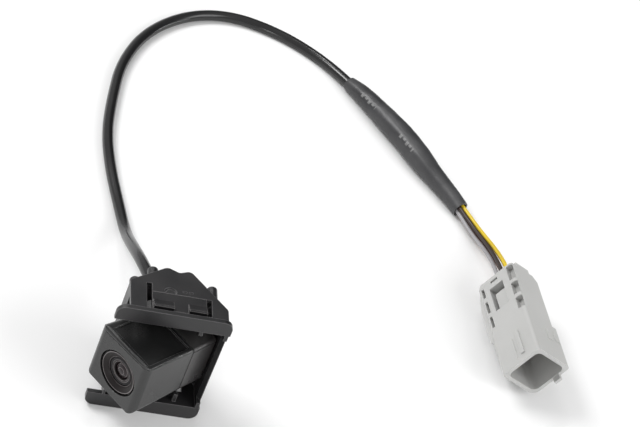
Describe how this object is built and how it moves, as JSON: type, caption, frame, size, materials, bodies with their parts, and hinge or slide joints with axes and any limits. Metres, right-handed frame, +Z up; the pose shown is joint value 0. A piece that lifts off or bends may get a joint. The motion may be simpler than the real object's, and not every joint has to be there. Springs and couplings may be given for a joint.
{
  "type": "backup camera",
  "caption": "Rear view camera in a snap-in bracket, turned to one side, with a cable, a shrink sleeve over spliced wires and a square plug connector.",
  "frame": {"origin": "under the middle of the head, on the surface that its flange edge and the cord rest on", "axes": "+Z up, -Y out through the panel that the flange lies on, +X to the right seen from outside"},
  "size_m": [0.2163, 0.2804, 0.061],
  "materials": {
    "bracket_plastic": "fine-grained moulded black",
    "shell_plastic": "satin black moulding with glossy sides",
    "trim_plastic": "dished brownish grey ring",
    "barrel_metal": "black anodised",
    "lens_glass": "coated optical glass",
    "filter_glass": "tinted filter glass",
    "steel": "zinc plated",
    "tinned_steel": "tin plated",
    "brass": "tinned brass",
    "rubber": "soft black",
    "circuit_board": "green solder resist",
    "sensor_package": "dark package",
    "membrane": "white porous film",
    "white_plastic": "natural moulding",
    "cable_jacket": "smooth glossy black jacket",
    "sleeve_plastic": "satin dark grey shrink sleeve",
    "wire_white": "insulation",
    "wire_black": "insulation",
    "wire_brown": "insulation",
    "wire_orange": "insulation",
    "wire_yellow": "insulation",
    "connector_plastic": "slightly translucent warm grey"
  },
  "bodies": {
    "camera_and_cord": {"mounting_bracket": "bracket_plastic", "bracket_screws": "steel", "camera_front_shell": "shell_plastic", "camera_rear_shell": "shell_plastic", "shell_gasket": "rubber", "lens_trim_ring": "trim_plastic", "lens_barrel": "barrel_metal", "lens_seal": "rubber", "lens_lock_ring": "barrel_metal", "lens_spacer": "barrel_metal", "front_lens": "lens_glass", "middle_lens": "lens_glass", "rear_lens": "lens_glass", "lens_holder": "bracket_plastic", "infrared_filter": "filter_glass", "sensor_board": "circuit_board", "power_board": "circuit_board", "image_sensor": "sensor_package", "board_spacers": "brass", "board_header": "sensor_package", "shield_can": "tinned_steel", "board_screws": "steel", "shell_screws": "steel", "vent_membrane": "membrane", "inner_plug": "white_plastic", "cable_grommet": "rubber", "cable": "cable_jacket", "inner_leads": "cable_jacket", "splice_sleeve": "sleeve_plastic", "splice_crimps": "brass", "splice_leads": "cable_jacket", "wire_white": "wire_white", "wire_black": "wire_black", "wire_brown": "wire_brown", "wire_orange": "wire_orange", "wire_yellow": "wire_yellow", "connector_housing": "connector_plastic", "pin_terminals": "brass"},
    "upper_tongue": {"snap_tongue_upper": "bracket_plastic"},
    "lower_tongue": {"snap_tongue_lower": "bracket_plastic"},
    "retainer": {"terminal_retainer": "white_plastic"}
  },
  "joints": [
    {"name": "upper_snap", "type": "hinge", "parent": "camera_and_cord", "child": "upper_tongue", "pos_m": [0.00355, 0.0088, 0.0536], "axis": [1, 0, 0], "range_deg": [0, 10], "stiffness_Nm_per_rad": 0.1},
    {"name": "lower_snap", "type": "hinge", "parent": "camera_and_cord", "child": "lower_tongue", "pos_m": [0.00355, 0.0088, 0.0074], "axis": [-1, 0, 0], "range_deg": [0, 10], "stiffness_Nm_per_rad": 0.1},
    {"name": "retainer_slide", "type": "slide", "parent": "camera_and_cord", "child": "retainer", "axis": [-0.8762, -0.0487, 0.4795], "range_m": [0, 0.0015]}
  ]
}
